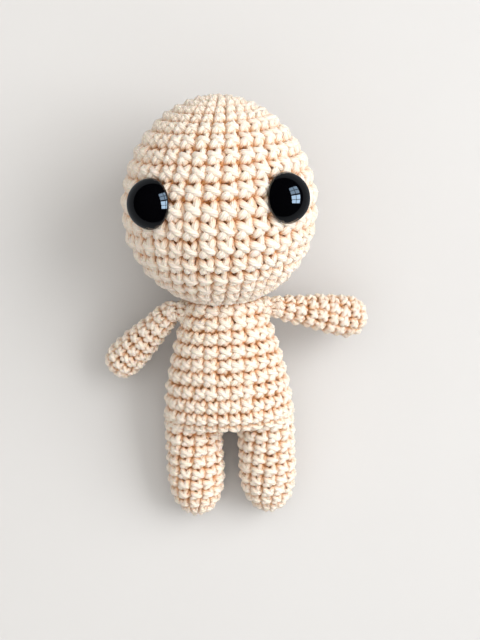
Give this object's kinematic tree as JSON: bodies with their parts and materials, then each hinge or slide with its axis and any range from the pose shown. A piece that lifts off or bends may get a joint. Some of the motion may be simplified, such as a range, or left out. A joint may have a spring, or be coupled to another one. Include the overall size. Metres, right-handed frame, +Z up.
{
  "type": "crocheted doll",
  "caption": "Small crocheted doll in cream yarn lying on its back, with a big egg-shaped head, glossy black eyes, short stuffed legs and sewn-on arms that can be posed.",
  "frame": {"origin": "on the flat patch under the hips, on the doll's middle line and in the plane that the doll lies on", "axes": "+Z up, out of the doll's face and belly side; +Y along the body toward the crown; +X toward the doll's left arm"},
  "size_m": [0.0663, 0.1035, 0.0469],
  "materials": {
    "cream_yarn": "single crochet in a light cream plied cotton yarn, matte with a faint sheen",
    "sewing_yarn": "the same plied yarn, sewn in tight wraps",
    "white_stuffing": "loose white polyester fibre",
    "black_eye": "polished black plastic",
    "washer_plastic": "plain pale plastic"
  },
  "bodies": {
    "torso": {"torso_cover": "cream_yarn", "torso_stuffing": "white_stuffing"},
    "neck_seam": {"neck_seam_yarn": "sewing_yarn"},
    "neck_wad": {"neck_stuffing": "white_stuffing"},
    "head": {"head_cover": "cream_yarn", "head_stuffing": "white_stuffing", "left_eye": "black_eye", "right_eye": "black_eye", "left_eye_washer": "washer_plastic", "right_eye_washer": "washer_plastic"},
    "left_leg": {"left_leg_cover": "cream_yarn", "left_leg_stuffing": "white_stuffing"},
    "right_leg": {"right_leg_cover": "cream_yarn", "right_leg_stuffing": "white_stuffing"},
    "left_arm_root": {"left_arm_seam_yarn": "sewing_yarn"},
    "left_arm": {"left_arm_cover": "cream_yarn", "left_arm_stuffing": "white_stuffing"},
    "right_arm_root": {"right_arm_seam_yarn": "sewing_yarn"},
    "right_arm": {"right_arm_cover": "cream_yarn", "right_arm_stuffing": "white_stuffing"}
  },
  "joints": [
    {"name": "neck_lean", "type": "hinge", "parent": "torso", "child": "neck_seam", "pos_m": [0, 0.02488, 0.01775], "axis": [0, -0.2374, 0.9714], "range_deg": [-5, 5], "stiffness_Nm_per_rad": 0.02},
    {"name": "neck_turn", "type": "hinge", "parent": "neck_seam", "child": "neck_wad", "pos_m": [0, 0.02488, 0.01775], "axis": [0, 0.9714, 0.2374], "range_deg": [-20, 20], "stiffness_Nm_per_rad": 0.01},
    {"name": "neck_nod", "type": "hinge", "parent": "neck_wad", "child": "head", "pos_m": [0, 0.02488, 0.01775], "axis": [1, 0, 0], "range_deg": [-10, 10], "stiffness_Nm_per_rad": 0.02},
    {"name": "left_hip_bend", "type": "hinge", "parent": "torso", "child": "left_leg", "pos_m": [0.0091, -0.00572, 0.01027], "axis": [-1, 0, 0], "range_deg": [-12, 25], "stiffness_Nm_per_rad": 0.004},
    {"name": "right_hip_bend", "type": "hinge", "parent": "torso", "child": "right_leg", "pos_m": [-0.0091, -0.00572, 0.01027], "axis": [-1, 0, 0], "range_deg": [-12, 25], "stiffness_Nm_per_rad": 0.004},
    {"name": "left_arm_raise", "type": "hinge", "parent": "torso", "child": "left_arm_root", "pos_m": [0.0132, 0.02168, 0.01697], "axis": [0, -0.2374, 0.9714], "range_deg": [-50, 32]},
    {"name": "left_arm_swing", "type": "hinge", "parent": "left_arm_root", "child": "left_arm", "pos_m": [0.0132, 0.02168, 0.01697], "axis": [-0.2521, -0.94, -0.2298], "range_deg": [-40, 65]},
    {"name": "right_arm_raise", "type": "hinge", "parent": "torso", "child": "right_arm_root", "pos_m": [-0.0132, 0.02168, 0.01697], "axis": [0, 0.2374, -0.9714], "range_deg": [-18, 63]},
    {"name": "right_arm_swing", "type": "hinge", "parent": "right_arm_root", "child": "right_arm", "pos_m": [-0.0132, 0.02168, 0.01697], "axis": [-0.7193, 0.6748, 0.1649], "range_deg": [-40, 65]}
  ]
}
